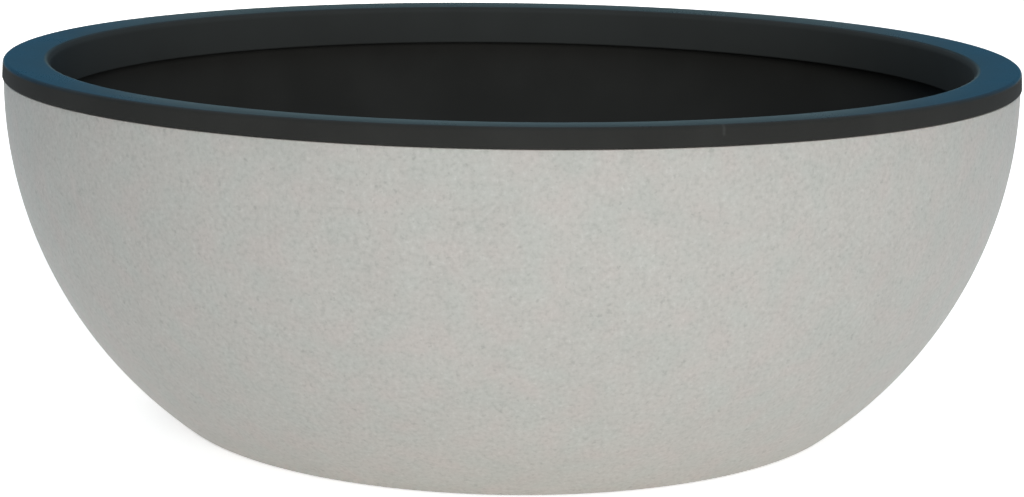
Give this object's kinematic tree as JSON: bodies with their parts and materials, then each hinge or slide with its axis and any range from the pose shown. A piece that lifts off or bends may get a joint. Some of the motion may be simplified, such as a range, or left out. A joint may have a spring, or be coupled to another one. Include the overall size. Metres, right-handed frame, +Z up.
{
  "type": "bowl planter",
  "caption": "Wide shallow floor planter: stone-effect bowl with a dark clipped rim and lift-out liner, raised floor over a water reserve, overflow tube and drain plug.",
  "frame": {"origin": "middle of the base, on the ground plane", "axes": "+Z up along the pot's axis of revolution, +X and +Y across the mouth"},
  "size_m": [0.5999, 0.6, 0.213],
  "materials": {
    "stone_skin": "speckled granite-effect moulded polymer, matte",
    "rim_plastic": "smooth satin anthracite moulded polymer",
    "liner_plastic": "fine-grained matte anthracite moulded polymer",
    "reserve_plastic": "plain dark grey moulded polymer",
    "seal_rubber": "matte black"
  },
  "bodies": {
    "outer": {"outer_bowl": "stone_skin"},
    "liner": {"inner_bowl": "liner_plastic", "rim_cap": "rim_plastic"},
    "raised_floor": {"reserve_grid": "reserve_plastic", "support_post_1": "reserve_plastic", "support_post_2": "reserve_plastic", "support_post_3": "reserve_plastic", "support_post_4": "reserve_plastic", "support_post_5": "reserve_plastic", "support_post_6": "reserve_plastic", "support_post_7": "reserve_plastic", "support_post_8": "reserve_plastic", "wick_basket_1": "reserve_plastic", "wick_basket_2": "reserve_plastic", "wick_basket_3": "reserve_plastic", "wick_basket_4": "reserve_plastic"},
    "overflow": {"overflow_tube": "reserve_plastic", "tube_seal": "seal_rubber"},
    "plug": {"drain_plug": "liner_plastic", "plug_seal": "seal_rubber"}
  },
  "joints": [
    {"name": "liner_lift", "type": "slide", "parent": "outer", "child": "liner", "axis": [0, 0, 1], "range_m": [0, 0.22]},
    {"name": "grid_lift", "type": "slide", "parent": "liner", "child": "raised_floor", "axis": [0, 0, 1], "range_m": [0, 0.2]},
    {"name": "tube_pull", "type": "slide", "parent": "liner", "child": "overflow", "axis": [0, 0, 1], "range_m": [0, 0.21]},
    {"name": "plug_pull", "type": "slide", "parent": "liner", "child": "plug", "axis": [0, 0, -1], "range_m": [0, 0.025]}
  ]
}
